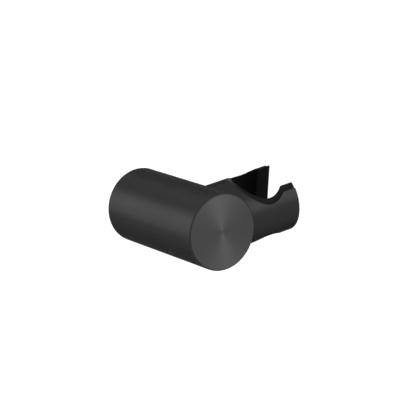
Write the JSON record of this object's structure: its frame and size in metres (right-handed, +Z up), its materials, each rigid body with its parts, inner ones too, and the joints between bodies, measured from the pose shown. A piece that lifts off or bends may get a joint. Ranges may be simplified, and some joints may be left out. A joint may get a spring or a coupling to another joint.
{
  "type": "hand shower holder",
  "caption": "Round wall-fixed hand shower holder: a cylindrical body carries a swivelling round arm with an open, lined cradle for the cone of a shower hose.",
  "frame": {"origin": "centre of the face that lies against the wall", "axes": "+Y into the wall, +Z up, +X along the arm, away from the body"},
  "size_m": [0.0625, 0.0674, 0.035],
  "materials": {
    "satin_black_coat": "satin",
    "turned_brass": "turned",
    "black_plastic": "moulded matt",
    "black_screw_steel": "blackened",
    "stainless_steel": "turned",
    "white_acetal": "moulded",
    "black_rubber": "moulded"
  },
  "bodies": {
    "wall_body": {"body": "satin_black_coat", "wall_boss": "turned_brass", "grub_screw": "black_screw_steel", "pivot_screw": "stainless_steel", "friction_washer": "white_acetal", "disc_spring": "stainless_steel", "thrust_washer": "stainless_steel"},
    "swivel_arm": {"holder_arm": "satin_black_coat", "cradle_liner": "black_plastic", "seal_ring": "black_rubber"}
  },
  "joints": [
    {"name": "cradle_swivel", "type": "hinge", "parent": "wall_body", "child": "swivel_arm", "pos_m": [0, -0.0495, 0], "axis": [1, 0, 0], "continuous": true}
  ]
}
